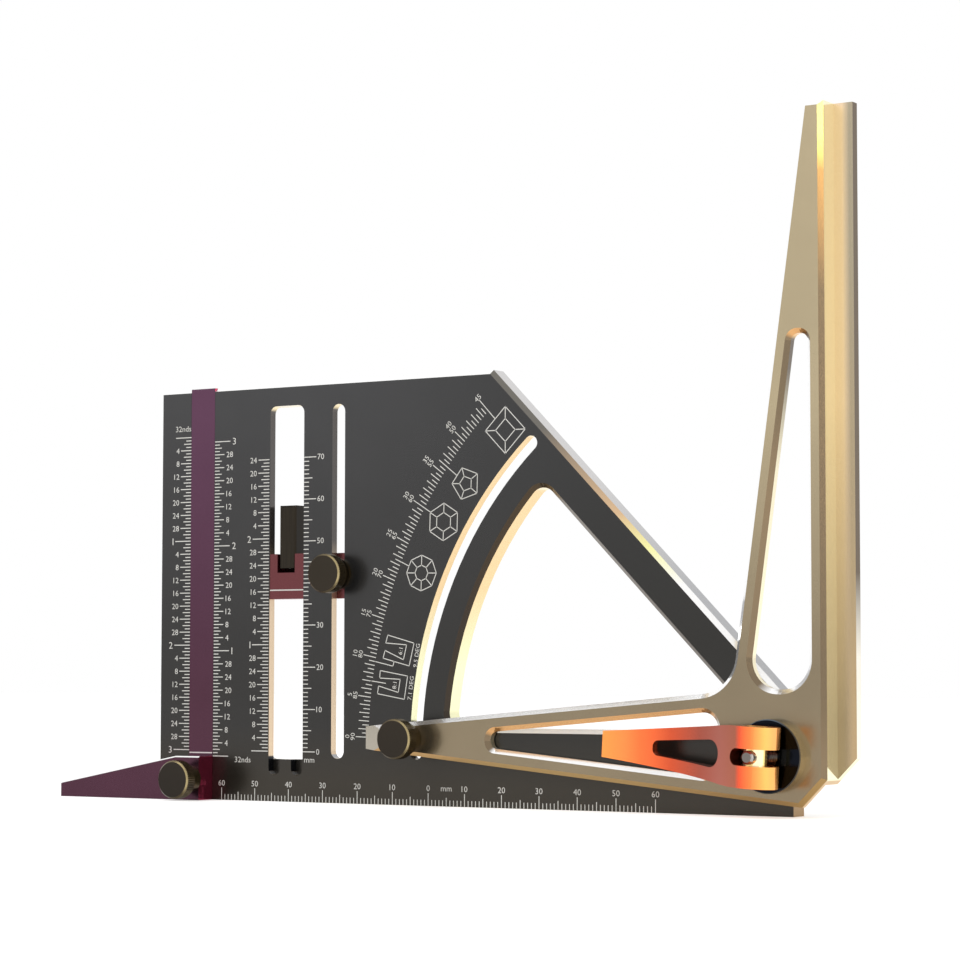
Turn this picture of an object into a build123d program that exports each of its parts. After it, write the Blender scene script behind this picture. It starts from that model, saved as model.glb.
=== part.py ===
from build123d import *

import os
from math import asin, atan2, cos, degrees, sin, sqrt

# Frame: X along the ruler edge from the scale's zero, Y into the plate from its front face, Z up.

# clearances
RUN = 0.05  # sliding and running fits
AIR = 0.3  # parts that pass each other
FLUSH = 0.1  # how far a piece stays below the face that it is let into

# base plate
THICK = 5.0
LEFT, TOP = -80.0, 100.0
EDGE = 1.0  # chamfer round the front faces
PIVOT_X, PIVOT_Z = 90.2, 12.9
LOBE_R = 9.97  # round end about the pivot, tangent to the 45 degree edge
MITRE_RAIL = 9.0  # width of the rail along the 45 degree edge
RULER_RAIL = 18.0  # height of the rail along the ruler edge
SWING = 45.0  # degrees that the arm turns
KNOB_RISE = 2.56  # height of the arm's knob above the pivot
ARC_R, ARC_SLOT, ARC_CHANNEL, CHANNEL_DEEP = 93.6, 3.32, 8.4, 2.6
ARC_BEFORE, ARC_AFTER, CHANNEL_AFTER = 1.97, 1.65, 0.8  # degrees of slot beyond the knob at the ends
ARC_WALL = 4.0  # between the channel and the cut-out
SKIN = 2.0  # plate left in front of the carriage's pocket
POCKET_LEFT, POCKET_WIDE, POCKET_LOW, POCKET_HEAD, POCKET_CORNER = -48.6, 27.2, 10.0, 5.4, 1.5
WINDOW_LEDGE, WINDOW_WIDE = 2.65, 10.05
NOTCH_DOWN, NOTCH_WIDE = 3.8, 3.4
SLOT_LEDGE, SLOT_WIDE, SLOT_INSET = 4.35, 3.65, 0.4
BORE_R, BACK_R, BACK_DEEP = 4.0, 6.5, 2.4

# height slide
BAR_X, BAR_HALF, BAR_DEEP, BAR_FLARE, BAR_SHORT = -66.5, 3.6, 2.9, 0.8, 0.15
FOOT_THICK, FOOT_TALL, BEAM_REACH, TIP_TALL, FOOT_EDGE = 5.0, 10.5, 36.1, 3.55, 0.3

# lock knobs
HEAD_R, HEAD_THICK, NECK_R, NECK_LONG, HEAD_EDGE = 4.5, 3.2, 3.3, 3.6, 0.3
FLANGE_R, FLANGE, SLOT_NECK = 3.8, 0.85, 2.9
STUD_R, SLOT_STUD_R, STUD_GRIP = 1.5, 1.75, 2.2
FOOT_KNOB = (BAR_X + 1.0, 5.05)
PAD_R, PAD_THICK = 2.0, 1.55

# marking slide
CAR_LOW, CAR_TALL, CAR_KNOB, CAR_ROUND = 48.15, 10.8, 5.7, 4.2
BLADE_SIDE, BLADE_WIDE, BLADE_LOW, BLADE_TALL, BLADE_FRONT = 2.55, 4.85, 7.4, 15.0, 0.3
NOTCH_FLOOR, TAIL_LOW, TAIL_THICK, SCREW_R, SCREW_HEAD_R = 6.3, 0.3, 1.7, 0.7, 1.25

# arm, measured from the pivot
WEB_THICK = 2.5
FENCE, ARM_TALL, LEG_LONG, MEMBER = 12.4, 140.2, 107.5, 4.0
LEG_BELOW, LEG_FALL, LEG_ABOVE, LEG_RISE = 10.18, -0.0947, 14.71, 0.0885
UP_LEFT, UP_LEAN = 12.26, 0.1425
LEG_WINDOW, UP_WINDOW = (72.0, 13.6), (14.2, 90.4)
CORNER_CUT = 12.16  # distance of the 45 degree cut from the pivot
WALL, SWEEP_GAP, RELIEF_UP = 2.3, 1.3, 6.0
LIP_WIDE, LIP_THICK, LIP_BACK = 4.5, 2.2, 5.4
TIP_BEVEL, ELBOW_R = 5.6, 9.0

# pivot and cam
TURN = 3.3  # degrees that the closed lever stands above the horizontal
DISC_R, DISC_THICK, BOLT_R, TAIL_R, TAIL_OUT, TAIL_EDGE = 7.9, 2.7, 2.5, 1.5, 4.0, 0.45
SHIM_R, WASHER, CONE_THICK, CONE_RISE = 7.0, 0.4, 0.3, 0.4
BARREL_R, CHEEK, CAM_R, CAM_OFF, GAP, GAP_LONG, BUSH_WALL = 2.5, 6.5, 4.95, 0.35, 1.8, 9.0, 0.55
LEVER_LONG, LEVER_TIP, LEVER_RISE = 39.0, 2.85, 3.8
TAPER_FROM, TAPER_HALF = 10.5, 5.9  # where the lever starts to narrow
EYE_FROM, EYE_LONG, EYE_HALF, EYE_TIP = 8.4, 18.7, 3.2, 1.55  # window in the lever

# places that follow from the sizes
PIVOT = (PIVOT_X, PIVOT_Z)
MITRE_OUT = PIVOT_X + PIVOT_Z + LOBE_R * sqrt(2)  # X + Z on the 45 degree edge
MITRE_IN = MITRE_OUT - MITRE_RAIL * sqrt(2)
CORNER = PIVOT_X - PIVOT_Z + CORNER_CUT * sqrt(2)  # X - Z on the arm's cut corner
RIGHT = PIVOT_X - CORNER_CUT + (LOBE_R + SWEEP_GAP) * sqrt(2) - AIR
knob_turn = degrees(asin(KNOB_RISE / ARC_R))
pocket_right, pocket_top = POCKET_LEFT + POCKET_WIDE, TOP - POCKET_HEAD
window_left = POCKET_LEFT + WINDOW_LEDGE
window_right = window_left + WINDOW_WIDE
slot_x = pocket_right - SLOT_LEDGE
counterbore = THICK - BACK_DEEP
web_front, web_back = -AIR - WEB_THICK, -AIR
arm_right, arm_top, tip_x = PIVOT_X + FENCE, PIVOT_Z + ARM_TALL, PIVOT_X - LEG_LONG
arm_knob = (PIVOT_X - sqrt(ARC_R**2 - KNOB_RISE**2), PIVOT_Z + KNOB_RISE)
disc_front = web_front - DISC_THICK
axle_y = disc_front - RUN - CAM_R - CAM_OFF


def knob_path(after):
    """Arc that the arm's knob follows, with after degrees beyond its upper end."""
    return CenterArc(
        (*PIVOT, 0), ARC_R, 180 - knob_turn - SWING - after, SWING + ARC_BEFORE + after
    )


slot_path, channel_path = knob_path(ARC_AFTER), knob_path(CHANNEL_AFTER)


def facing(y):
    """Sketch plane at depth y, seen from the front: X to the right, Z up."""
    return Plane(origin=(0, y, 0), x_dir=(1, 0, 0), z_dir=(0, -1, 0))


def panel(x0, x1, z0, z1, mode=Mode.ADD):
    """Rectangle between two corners."""
    Polygon((x0, z0), (x1, z0), (x1, z1), (x0, z1), align=None, mode=mode)


def disc(x, z, r, y0, y1, mode=Mode.ADD):
    """Cylinder along Y from y0 to y1."""
    with BuildSketch(facing(y0)) as round_face:
        with Locations((x, z)):
            Circle(r)
    extrude(round_face.sketch, amount=y0 - y1, mode=mode)


def at_front(part, y):
    """Edges of the part that lie in the plane at depth y."""
    return part.edges().filter_by_position(Axis.Y, y - 1e-4, y + 1e-4).filter_by(
        lambda e: e.bounding_box().size.Y < 1e-4
    )


def dovetail(ease=0.0):
    """Section of the height slide's bar, grown by ease for its groove."""
    flare = BAR_FLARE * (BAR_DEEP + 2 * ease) / BAR_DEEP
    Polygon(
        (BAR_X - BAR_HALF - ease, 0),
        (BAR_X + BAR_HALF + ease, 0),
        (BAR_X + BAR_HALF + ease + flare, BAR_DEEP + 2 * ease),
        (BAR_X - BAR_HALF - ease - flare, BAR_DEEP + 2 * ease),
        align=None,
    )


def lower(x, inside=0.0):
    """Height of the leg's lower outline at x, moved in by inside."""
    return PIVOT_Z - LEG_BELOW + LEG_FALL * (x - PIVOT_X) + inside


def upper(x, inside=0.0):
    """Height of the leg's upper outline at x."""
    return PIVOT_Z + LEG_ABOVE + LEG_RISE * (x - PIVOT_X) - inside


def side(z, inside=0.0):
    """X of the upright's left outline at height z."""
    return PIVOT_X - UP_LEFT + UP_LEAN * (z - PIVOT_Z) + inside


# --- base plate ---
with BuildPart() as base_plate:
    with BuildSketch(facing(0)):
        tangent = LOBE_R / sqrt(2)
        Polygon(
            (LEFT, 0),
            (RIGHT, 0),
            (RIGHT, PIVOT_Z),
            (PIVOT_X + tangent, PIVOT_Z + tangent),
            (MITRE_OUT - TOP, TOP),
            (LEFT, TOP),
            align=None,
        )
        with Locations(PIVOT):
            Circle(LOBE_R)
    extrude(amount=-THICK)
    with BuildSketch(facing(0)) as cutout:
        with Locations(PIVOT):
            Circle(ARC_R - ARC_CHANNEL / 2 - ARC_WALL)
        Polygon(
            (PIVOT_X - ARC_R, RULER_RAIL),
            (MITRE_IN - RULER_RAIL, RULER_RAIL),
            (PIVOT_X - ARC_R, MITRE_IN - PIVOT_X + ARC_R),
            align=None,
            mode=Mode.INTERSECT,
        )
        fillet(cutout.vertices(), 3.5)
    extrude(amount=-THICK, mode=Mode.SUBTRACT)
    front = at_front(base_plate.part, 0)
    chamfer([e for e in front if e.center().Z > 0.01 and e.center().X < RIGHT - 0.01], EDGE)

    # groove of the height slide
    with BuildSketch(Plane.XY):
        dovetail(RUN)
    extrude(amount=TOP, mode=Mode.SUBTRACT)

    # window, narrow slot and the pocket behind them
    with BuildSketch(facing(0)) as window:
        panel(window_left, window_right, POCKET_LOW, pocket_top - FLUSH)
        fillet(window.vertices().group_by(Axis.Y)[-1], 1.8)
        with Locations((slot_x, (POCKET_LOW + pocket_top) / 2)):
            SlotOverall(pocket_top - POCKET_LOW - 2 * SLOT_INSET, SLOT_WIDE, rotation=90)
        with Locations(
            *[(x, POCKET_LOW) for x in (window_left + NOTCH_WIDE / 2, window_right - NOTCH_WIDE / 2)]
        ):
            SlotOverall(2 * NOTCH_DOWN, NOTCH_WIDE, rotation=90)
    extrude(amount=-SKIN, mode=Mode.SUBTRACT)
    with BuildSketch(facing(SKIN)) as pocket:
        panel(POCKET_LEFT, pocket_right, POCKET_LOW, pocket_top)
        fillet(pocket.vertices(), POCKET_CORNER)
    extrude(amount=SKIN - THICK, mode=Mode.SUBTRACT)

    # arc slot with the nut's channel behind it
    with BuildSketch(facing(0)):
        SlotArc(slot_path, ARC_SLOT)
    extrude(amount=-THICK, mode=Mode.SUBTRACT)
    with BuildSketch(facing(THICK - CHANNEL_DEEP)):
        SlotArc(channel_path, ARC_CHANNEL)
    extrude(amount=-CHANNEL_DEEP, mode=Mode.SUBTRACT)

    # pivot bore, counterbored behind
    disc(*PIVOT, BORE_R, 0, THICK, Mode.SUBTRACT)
    disc(*PIVOT, BACK_R, counterbore, THICK, Mode.SUBTRACT)

# --- height slide: dovetail bar, foot block and tapered beam ---
foot_back = -AIR
foot_front = foot_back - FOOT_THICK
with BuildPart() as height_slide:
    with BuildSketch(Plane.XY):
        dovetail()
    extrude(amount=TOP - BAR_SHORT)
    with BuildSketch(facing(foot_front)):
        Polygon(
            (BAR_X + BAR_HALF, 0),
            (BAR_X + BAR_HALF, FOOT_TALL),
            (BAR_X - BAR_HALF, FOOT_TALL),
            (BAR_X - BAR_HALF - BEAM_REACH, TIP_TALL),
            (BAR_X - BAR_HALF - BEAM_REACH, 0),
            align=None,
        )
    extrude(amount=-FOOT_THICK)
    chamfer(at_front(height_slide.part, foot_front).sort_by(Axis.Z)[-2:], FOOT_EDGE)
    with BuildSketch(facing(foot_back)):
        panel(BAR_X - BAR_HALF, BAR_X + BAR_HALF, 0, FOOT_TALL)
    extrude(amount=foot_back)
    disc(*FOOT_KNOB, STUD_R + RUN, foot_front, BAR_DEEP, Mode.SUBTRACT)
    disc(*FOOT_KNOB, PAD_R + RUN, BAR_DEEP - PAD_THICK - 3 * RUN, BAR_DEEP, Mode.SUBTRACT)

with BuildPart() as height_clamp_pad:
    disc(*FOOT_KNOB, PAD_R, BAR_DEEP - PAD_THICK, BAR_DEEP)


def lock_knob(x, z, seat, stud_r, stud_end, neck_long=NECK_LONG, flange=0.0):
    """Knurled knob with its neck on the seat, and its stud that ends at depth stud_end."""
    neck = seat - RUN - neck_long
    front = neck - HEAD_THICK
    with BuildPart() as knob:
        disc(x, z, HEAD_R, front, neck)
        chamfer(at_front(knob.part, front), HEAD_EDGE)
        disc(x, z, NECK_R, neck, seat - RUN)
        if flange:
            disc(x, z, FLANGE_R, seat - RUN - flange, seat - RUN)
        disc(x, z, stud_r, neck - STUD_GRIP, seat, Mode.SUBTRACT)
    with BuildPart() as stud:
        disc(x, z, stud_r, neck - STUD_GRIP, stud_end)
    return knob, stud


height_knob, height_stud = lock_knob(
    *FOOT_KNOB, foot_front, STUD_R, BAR_DEEP - PAD_THICK - 4 * RUN
)
marking_knob, marking_stud = lock_knob(
    slot_x, CAR_LOW + CAR_KNOB, 0, SLOT_STUD_R, THICK - FLUSH - 0.2, SLOT_NECK, FLANGE
)
arm_lock_knob, arm_stud = lock_knob(*arm_knob, web_front, ARC_SLOT / 2 - 0.06, THICK - 0.2)

# --- marking slide ---
blade_left = window_left + BLADE_SIDE
blade_right = blade_left + BLADE_WIDE
blade_x, blade_low, car_top = blade_left + BLADE_WIDE / 2, CAR_LOW + BLADE_LOW, CAR_LOW + CAR_TALL
tail_low, tail_back = CAR_LOW + TAIL_LOW, THICK - FLUSH + TAIL_THICK
screw_heights = (tail_low + 1.5, tail_low + 4.5)
with BuildPart() as marking_carriage:
    with BuildSketch(facing(SKIN + RUN)) as block:
        panel(POCKET_LEFT + RUN, pocket_right - RUN, CAR_LOW, car_top)
        fillet(block.vertices().group_by(Axis.X)[0], POCKET_CORNER)
        fillet(block.vertices().group_by(Axis.X)[-1], CAR_ROUND)
    extrude(amount=SKIN + RUN - THICK + FLUSH)
    with BuildSketch(facing(FLUSH)):  # block that fills the window
        panel(window_left + RUN, window_right - RUN, CAR_LOW, car_top)
    extrude(amount=FLUSH - THICK + FLUSH)
    with BuildSketch(facing(0)):  # the blade's notch
        panel(blade_left - AIR, blade_right, CAR_LOW + NOTCH_FLOOR, car_top + 1)
    extrude(amount=-THICK, mode=Mode.SUBTRACT)
    disc(slot_x, CAR_LOW + CAR_KNOB, SLOT_STUD_R + RUN, SKIN, THICK, Mode.SUBTRACT)
    for z in screw_heights:
        disc(blade_x, z, SCREW_R, SKIN + 0.6, THICK, Mode.SUBTRACT)

with BuildPart() as marking_blade:
    with BuildSketch(facing(BLADE_FRONT)):
        panel(blade_left, blade_right, blade_low, blade_low + BLADE_TALL)
    extrude(amount=BLADE_FRONT - tail_back)
    edges = at_front(marking_blade.part, BLADE_FRONT).sort_by(Axis.Z)[1:]
    chamfer(edges, 0.45)
    with BuildSketch(facing(THICK - FLUSH)):
        panel(blade_left - 2 * AIR, blade_right, tail_low, blade_low)
    extrude(amount=-TAIL_THICK)
    for z in screw_heights:
        disc(blade_x, z, SCREW_R + FLUSH, THICK - FLUSH, tail_back, Mode.SUBTRACT)
        disc(blade_x, z, SCREW_HEAD_R + FLUSH, tail_back - 0.8, tail_back, Mode.SUBTRACT)

with BuildPart() as blade_screws:
    for z in screw_heights:
        disc(blade_x, z, SCREW_R, SKIN + 0.9, tail_back - FLUSH)
        disc(blade_x, z, SCREW_HEAD_R, tail_back - 0.8, tail_back - FLUSH)
        with BuildSketch(facing(tail_back)):
            with Locations((blade_x, z)):
                RegularPolygon(0.6, 6)
        extrude(amount=0.5, mode=Mode.SUBTRACT)

# --- arm: frame with the pointer leg and the upright, fence wall and lip ---
bar = MEMBER + 0.02
relief_x, relief_z = PIVOT_X + LOBE_R + SWEEP_GAP, PIVOT_Z + RELIEF_UP
with BuildPart() as arm_frame:
    corner_x = (CORNER + PIVOT_Z - LEG_BELOW - LEG_FALL * PIVOT_X) / (1 - LEG_FALL)
    elbow_z = upper(side(0)) / (1 - LEG_RISE * UP_LEAN)
    with BuildSketch(facing(web_front)) as web:
        Polygon(
            (tip_x, lower(tip_x)),
            (corner_x, corner_x - CORNER),
            (arm_right, arm_right - CORNER),
            (arm_right, arm_top),
            (side(arm_top), arm_top),
            (side(elbow_z), elbow_z),
            (tip_x, upper(tip_x)),
            align=None,
        )
        fillet(web.vertices().sort_by_distance((side(elbow_z), elbow_z, 0))[0], ELBOW_R)
    extrude(amount=-WEB_THICK)
    with BuildSketch(facing(web_front)) as leg_window:
        x0, x1 = PIVOT_X - LEG_WINDOW[0], PIVOT_X - LEG_WINDOW[1]
        Polygon(
            (x0, lower(x0, bar)), (x1, lower(x1, bar)), (x1, upper(x1, bar)), (x0, upper(x0, bar)), align=None
        )
        fillet(leg_window.vertices().group_by(Axis.X)[0], 1.8)
        fillet(leg_window.vertices().group_by(Axis.X)[-1], 3.5)
    extrude(amount=-WEB_THICK, mode=Mode.SUBTRACT)
    with BuildSketch(facing(web_front)) as up_window:
        z0, z1 = PIVOT_Z + UP_WINDOW[0], PIVOT_Z + UP_WINDOW[1]
        inner = arm_right - MEMBER
        Polygon((side(z0, bar), z0), (inner, z0), (inner, z1), (side(z1, bar), z1), align=None)
        fillet(up_window.vertices().group_by(Axis.Y)[0], 6.4)
        fillet(up_window.vertices().group_by(Axis.Y)[-1], 1.75)
    extrude(amount=-WEB_THICK, mode=Mode.SUBTRACT)
    chamfer([e for e in at_front(arm_frame.part, web_front) if e.center().X > tip_x + 0.01], EDGE)
    # bevel that brings the pointer's tip down to the scale
    with BuildSketch(Plane.XY):
        Polygon(
            (tip_x - 1, web_front - 1),
            (tip_x + TIP_BEVEL, web_front - 1),
            (tip_x + TIP_BEVEL, web_front),
            (tip_x, web_back - FLUSH),
            (tip_x - 1, web_back - FLUSH),
            align=None,
        )
    extrude(amount=upper(0) + PIVOT_Z, mode=Mode.SUBTRACT)
    # fence wall, thinned where it swings past the plate's round end
    with BuildSketch(facing(web_back - 1)):
        Polygon(
            (relief_x, relief_x - CORNER),
            (arm_right, arm_right - CORNER),
            (arm_right, arm_top),
            (arm_right - WALL, arm_top),
            (arm_right - WALL, relief_z),
            (relief_x, relief_z),
            align=None,
        )
    extrude(amount=web_back - 1 - LIP_BACK)
    with BuildSketch(facing(LIP_BACK - LIP_THICK)):
        lip_x = arm_right + LIP_WIDE
        Polygon(
            (arm_right, arm_right - CORNER),
            (lip_x, lip_x - CORNER),
            (lip_x, arm_top),
            (arm_right, arm_top),
            align=None,
        )
    extrude(amount=-LIP_THICK)
    disc(*PIVOT, BOLT_R, web_front, web_back, Mode.SUBTRACT)
    disc(*arm_knob, ARC_SLOT / 2 - 0.01, web_front, web_back, Mode.SUBTRACT)

nut_front = THICK - CHANNEL_DEEP + AIR
with BuildPart() as arm_clamp_nut:
    disc(*arm_knob, ARC_CHANNEL / 2 - AIR, nut_front, THICK - FLUSH)
    disc(*arm_knob, ARC_SLOT / 2 - 0.01, nut_front, THICK - FLUSH, Mode.SUBTRACT)

# --- pivot: bush, washers, bolt and disc ---
washer_back = counterbore + RUN + WASHER
head_front = washer_back + CONE_THICK + CONE_RISE
with BuildPart() as pivot_bush:
    disc(*PIVOT, BORE_R, 0, counterbore)
    disc(*PIVOT, BOLT_R + RUN, 0, counterbore, Mode.SUBTRACT)

with BuildPart() as pivot_shim:
    disc(*PIVOT, SHIM_R, web_back, -RUN)
    disc(*PIVOT, BOLT_R, web_back, -RUN, Mode.SUBTRACT)

with BuildPart() as back_washer:
    disc(*PIVOT, BACK_R - AIR, counterbore + RUN, washer_back)
    disc(*PIVOT, BOLT_R, counterbore + RUN, washer_back, Mode.SUBTRACT)

head_r = BACK_R - 1.6
with BuildPart() as spring_washer:
    rise = head_front - CONE_THICK - washer_back
    disc(*PIVOT, head_r, head_front - CONE_THICK, head_front)
    with Locations(Location((PIVOT_X, washer_back + rise / 2, PIVOT_Z), (-90, 0, 0))):
        Cone(BOLT_R, head_r, rise)
    with Locations(Location((PIVOT_X, head_front - rise / 2, PIVOT_Z), (-90, 0, 0))):
        Cone(BOLT_R, head_r - 0.05, rise, mode=Mode.SUBTRACT)
    disc(*PIVOT, BOLT_R, washer_back, head_front, Mode.SUBTRACT)

with BuildPart() as draw_bolt:
    disc(*PIVOT, BOLT_R, disc_front + FLUSH, head_front)
    disc(*PIVOT, head_r, head_front, THICK - FLUSH)
    disc(*PIVOT, TAIL_R, axle_y - TAIL_OUT, disc_front + FLUSH)
    chamfer(at_front(draw_bolt.part, axle_y - TAIL_OUT), TAIL_EDGE)
    with BuildSketch(facing(THICK)):
        with Locations(PIVOT):
            RegularPolygon(1.9, 6)
    extrude(amount=0.9, mode=Mode.SUBTRACT)

with BuildPart() as pivot_disc:
    disc(*PIVOT, DISC_R, disc_front, web_front)
    chamfer(pivot_disc.edges().group_by(Axis.Y)[0], 0.2)
    disc(*PIVOT, BOLT_R, disc_front, web_front, Mode.SUBTRACT)

# --- cam lever with its pin, drawn along -X about the pin and then turned to its place ---
place = Location((PIVOT_X, axle_y, PIVOT_Z), (0, TURN, 0))
bush_r = BARREL_R + RUN + BUSH_WALL

bend = (-9.5, -0.4)  # where the handle's front runs straight on, to touch the cam circle
off_x, off_y = -bend[0], CAM_OFF - bend[1]
slope = atan2(off_y, off_x) - asin(CAM_R / sqrt(off_x**2 + off_y**2))
run_in = sqrt(off_x**2 + off_y**2 - CAM_R**2)
touch = (bend[0] + run_in * cos(slope), bend[1] + run_in * sin(slope))

with BuildPart() as cam_lever:
    with BuildSketch(Plane.XY.offset(-CHEEK)):
        with Locations((0, CAM_OFF)):
            Circle(CAM_R)
        with BuildLine():
            ThreePointArc((-LEVER_LONG, 2.7), (-24, LEVER_RISE), bend)
            Line(bend, touch)
            Line((-LEVER_LONG, 2.7), (-LEVER_LONG, 4.6))
            hollow = ThreePointArc((-LEVER_LONG, 4.6), (-29, 6.0), (-19, 5.7))
            TangentArc((-19, 5.7), (0.6, 4.6), tangent=hollow % 1)
            Line((0.6, 4.6), touch)
        make_face()
    extrude(amount=2 * CHEEK)
    end_x = CAM_R + 3
    with BuildSketch(facing(-12)):  # outline seen from the front
        with BuildLine():
            rim = Polyline(
                (end_x, CHEEK),
                (-4.5, CHEEK),
                (-7.5, (CHEEK + TAPER_HALF) / 2 + 0.08),
                (-TAPER_FROM, TAPER_HALF),
                (-LEVER_LONG, LEVER_TIP),
                (-LEVER_LONG, 0),
            )
            mirror(rim, about=Plane.XZ)
            Line((end_x, CHEEK), (end_x, -CHEEK))
        make_face()
    extrude(amount=-24, mode=Mode.INTERSECT)
    with BuildSketch(facing(-12)) as lever_window:
        x0, x1 = -EYE_FROM - EYE_LONG, -EYE_FROM
        Polygon((x1, -EYE_HALF), (x1, EYE_HALF), (x0, EYE_TIP), (x0, -EYE_TIP), align=None)
        fillet(lever_window.vertices().group_by(Axis.X)[0], EYE_TIP - 0.15)
        fillet(lever_window.vertices().group_by(Axis.X)[-1], EYE_HALF - 0.4)
    extrude(amount=-24, mode=Mode.SUBTRACT)
    with BuildSketch(facing(-12)):
        SlotOverall(GAP_LONG, 2 * GAP)
        with Locations((end_x / 2, 0)):
            Rectangle(end_x, 2 * GAP)
    extrude(amount=-24, mode=Mode.SUBTRACT)
    Cylinder(bush_r, 3 * CHEEK, mode=Mode.SUBTRACT)
cam_lever.part.locate(place)

with BuildPart() as cam_bushes:
    for z in (-1, 1):
        with Locations((0, 0, z * (CHEEK + GAP) / 2)):
            Cylinder(bush_r, CHEEK - GAP)
            Cylinder(BARREL_R + RUN, CHEEK - GAP, mode=Mode.SUBTRACT)
cam_bushes.part.locate(place)

with BuildPart() as barrel_pin:
    Cylinder(BARREL_R, 2 * CHEEK - 2 * FLUSH)
    Cylinder(TAIL_R, 3 * BARREL_R, rotation=(90, 0, 0), mode=Mode.SUBTRACT)
barrel_pin.part.locate(place)

NODES = dict(
    base_plate=base_plate,
    pivot_bush=pivot_bush,
    height_slide=height_slide,
    height_clamp_pad=height_clamp_pad,
    height_knob=height_knob,
    height_stud=height_stud,
    marking_carriage=marking_carriage,
    marking_blade=marking_blade,
    blade_screws=blade_screws,
    marking_knob=marking_knob,
    marking_stud=marking_stud,
    arm_frame=arm_frame,
    arm_knob=arm_lock_knob,
    arm_stud=arm_stud,
    arm_clamp_nut=arm_clamp_nut,
    pivot_shim=pivot_shim,
    pivot_disc=pivot_disc,
    draw_bolt=draw_bolt,
    back_washer=back_washer,
    spring_washer=spring_washer,
    barrel_pin=barrel_pin,
    cam_lever=cam_lever,
    cam_bushes=cam_bushes,
)
os.makedirs("parts", exist_ok=True)
for name, built in NODES.items():
    built.part.label = name
    export_step(built.part, f"parts/{name}.step")
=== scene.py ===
# %% [markdown]
# # An angle finder with two arms
#
# The real tool is a dark anodised plate with engraved scales. A gold arm swings over it, a purple
# slide sets heights, a red slide carries a marking blade, and knurled knobs lock all three.
# The exact metal shapes arrive as a ready CAD model. What is made here is what the eye adds to
# them: the camera, the light, the metal finishes and every engraved line and number.

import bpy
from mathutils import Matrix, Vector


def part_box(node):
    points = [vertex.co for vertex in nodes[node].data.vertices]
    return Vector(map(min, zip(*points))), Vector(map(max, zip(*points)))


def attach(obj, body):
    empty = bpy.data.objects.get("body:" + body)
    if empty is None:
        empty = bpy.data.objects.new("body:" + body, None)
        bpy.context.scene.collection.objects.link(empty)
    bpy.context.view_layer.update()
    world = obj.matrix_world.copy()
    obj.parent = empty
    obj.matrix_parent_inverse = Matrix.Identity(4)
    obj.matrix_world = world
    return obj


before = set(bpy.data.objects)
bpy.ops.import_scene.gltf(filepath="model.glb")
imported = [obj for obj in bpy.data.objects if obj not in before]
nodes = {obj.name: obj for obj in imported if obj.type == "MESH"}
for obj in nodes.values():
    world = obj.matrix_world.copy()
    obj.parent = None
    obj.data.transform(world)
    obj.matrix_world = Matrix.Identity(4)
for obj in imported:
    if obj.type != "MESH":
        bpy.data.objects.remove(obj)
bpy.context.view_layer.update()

import math

import bmesh
import bpy
from mathutils import Matrix, Vector

scene = bpy.context.scene

# %% [markdown]
# ## Working in millimetres
#
# The scene is in metres, but a gauge like this is read in millimetres, so one small helper turns
# a place in millimetres into a point. X runs along the ruler edge from its zero mark, Y goes into
# the plate from its front face and Z is up.

# %% Millimetres
MM = 0.001


def place(x, y, z):
    return Vector((x, y, z)) * MM


# %% [markdown]
# ## The camera
#
# The picture was taken with a long lens, a little to the right of the tool and barely above the
# surface. A camera could be placed by eye, but lines that run into depth, such as the arm's lip,
# only fall in place when distance, lens and turn agree. So its place was worked out from marks
# whose real positions are known: the millimetre scale, the plate's corners and the arm's ends.

# %% Camera
CAMERA_AT = (377.364, -562.433, 30.073)
TURNED, RAISED, TILTED = 32.858, 3.815, 0.0805  # degrees
FOCAL_LENGTH, SENSOR_WIDTH = 109.758, 36.0
lens = bpy.data.cameras.new("camera")
lens.lens, lens.sensor_width = FOCAL_LENGTH, SENSOR_WIDTH
lens.clip_start, lens.clip_end = 0.01, 10
camera = bpy.data.objects.new("camera", lens)
scene.collection.objects.link(camera)
aim = (
    Matrix.Rotation(math.radians(TURNED), 4, "Z")
    @ Matrix.Rotation(math.radians(90 + RAISED), 4, "X")
    @ Matrix.Rotation(math.radians(TILTED), 4, "Z")
)
camera.matrix_world = Matrix.Translation(place(*CAMERA_AT)) @ aim
scene.camera = camera
print("camera stands", round(camera.location.length, 3), "m from the scale's zero")

# %% [markdown]
# ## Light and surroundings
#
# Metal shows its surroundings more than its own colour. In the photograph they are white all
# round, so the world is white to the eye and to reflections, and weaker as a lamp, which keeps
# the dark plate dark. Two large soft lamps give the light a direction: one high on the left, and
# a weaker warm one low on the right, which the cut walls of the plate catch.

# %% Math helper


def math_node(tree, kind, a, b=None):
    """A Math node on sockets or numbers."""
    node = tree.nodes.new("ShaderNodeMath")
    node.operation = kind
    for slot, value in enumerate((a, b)):
        if isinstance(value, (int, float)):
            node.inputs[slot].default_value = value
        elif value is not None:
            tree.links.new(value, node.inputs[slot])
    return node.outputs[0]


# %% World
LAMP_SHARE = 0.62  # of the white, where the world only lights
scene.view_settings.view_transform = "Standard"
world = bpy.data.worlds.new("white_studio")
world.use_nodes = True
scene.world = world
tree = world.node_tree
tree.nodes.clear()
world_out = tree.nodes.new("ShaderNodeOutputWorld")
ambient = tree.nodes.new("ShaderNodeBackground")
ambient.inputs["Color"].default_value = (1, 1, 1, 1)
ambient.inputs["Strength"].default_value = LAMP_SHARE
seen = tree.nodes.new("ShaderNodeBackground")
seen.inputs["Color"].default_value = (1, 1, 1, 1)
seen.inputs["Strength"].default_value = 1.0
rays = tree.nodes.new("ShaderNodeLightPath")
to_eye, to_gloss = rays.outputs["Is Camera Ray"], rays.outputs["Is Glossy Ray"]
eye_or_gloss = math_node(tree, "MAXIMUM", to_eye, to_gloss)
any_seen = math_node(tree, "MAXIMUM", eye_or_gloss, rays.outputs["Is Transmission Ray"])
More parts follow.
